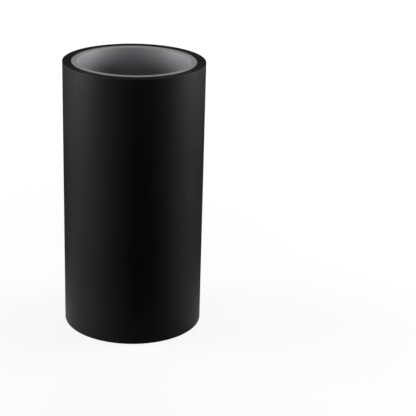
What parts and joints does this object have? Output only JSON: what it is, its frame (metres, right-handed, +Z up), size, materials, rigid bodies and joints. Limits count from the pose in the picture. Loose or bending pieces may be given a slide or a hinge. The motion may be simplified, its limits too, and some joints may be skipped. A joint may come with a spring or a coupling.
{
  "type": "roll of sign vinyl",
  "caption": "Short wide roll of matte black self-adhesive vinyl film on a release liner, wound on a white plastic core, with a tail that unwinds and a film end that peels.",
  "frame": {"origin": "centre of the bottom end of the roll, on the core's axis", "axes": "+Z up along the core's axis; the tail leaves the roll at 45 degrees from +X towards -Y"},
  "size_m": [0.0978, 0.098, 0.19],
  "materials": {
    "vinyl_film": "matte black calendered vinyl, fine texture",
    "release_liner": "smoke grey siliconised film, satin",
    "core_plastic": "white extruded plastic, semi-gloss",
    "label_paper": "printed white paper label",
    "starter_tape": "double-sided tape",
    "tab_tape": "frosted tape"
  },
  "bodies": {
    "roll": {"core_tube": "core_plastic", "core_label": "label_paper", "starter_tape": "starter_tape", "liner_wound": "release_liner", "film_wound": "vinyl_film", "film_outer_wrap": "vinyl_film"},
    "tail_1": {"film_tail_1": "vinyl_film", "liner_tail_1": "release_liner"},
    "tail_2": {"film_tail_2": "vinyl_film", "liner_tail_2": "release_liner"},
    "tail_3": {"film_tail_3": "vinyl_film", "liner_tail_3": "release_liner"},
    "tail_4": {"film_tail_4": "vinyl_film", "liner_tail_4": "release_liner"},
    "tail_5": {"film_tail_5": "vinyl_film", "liner_tail_5": "release_liner"},
    "tail_6": {"film_tail_6": "vinyl_film", "liner_tail_6": "release_liner"},
    "flap": {"film_flap": "vinyl_film", "tab_anchor": "tab_tape"},
    "tab": {"tab_pull": "tab_tape"}
  },
  "joints": [
    {"name": "tail_unwind", "type": "hinge", "parent": "roll", "child": "tail_1", "pos_m": [0.03464, -0.03464, 0], "axis": [0, 0, -1], "range_deg": [0, 25]},
    {"name": "tail_bend_2", "type": "hinge", "parent": "tail_1", "child": "tail_2", "pos_m": [0.04605, -0.01674, 0], "axis": [0, 0, -1], "range_deg": [0, 25]},
    {"name": "tail_bend_3", "type": "hinge", "parent": "tail_2", "child": "tail_3", "pos_m": [0.04882, 0.00431, 0], "axis": [0, 0, -1], "range_deg": [0, 25]},
    {"name": "tail_bend_4", "type": "hinge", "parent": "tail_3", "child": "tail_4", "pos_m": [0.04244, 0.02456, 0], "axis": [0, 0, -1], "range_deg": [0, 25]},
    {"name": "tail_bend_5", "type": "hinge", "parent": "tail_4", "child": "tail_5", "pos_m": [0.0281, 0.04021, 0], "axis": [0, 0, -1], "range_deg": [0, 25]},
    {"name": "tail_bend_6", "type": "hinge", "parent": "tail_5", "child": "tail_6", "pos_m": [0.00848, 0.04834, 0], "axis": [0, 0, -1], "range_deg": [0, 25]},
    {"name": "film_peel", "type": "hinge", "parent": "tail_6", "child": "flap", "pos_m": [0.00212, 0.04903, 0], "axis": [0, 0, -1], "range_deg": [0, 110]},
    {"name": "tab_peel", "type": "hinge", "parent": "flap", "child": "tab", "pos_m": [-0.01275, 0.04747, 0.095], "axis": [0, 0, -1], "range_deg": [0, 80]}
  ],
  "couplings": [
    {"joint": "tail_bend_2", "follows": "tail_unwind", "ratio": 1},
    {"joint": "tail_bend_3", "follows": "tail_unwind", "ratio": 1},
    {"joint": "tail_bend_4", "follows": "tail_unwind", "ratio": 1},
    {"joint": "tail_bend_5", "follows": "tail_unwind", "ratio": 1},
    {"joint": "tail_bend_6", "follows": "tail_unwind", "ratio": 1}
  ]
}
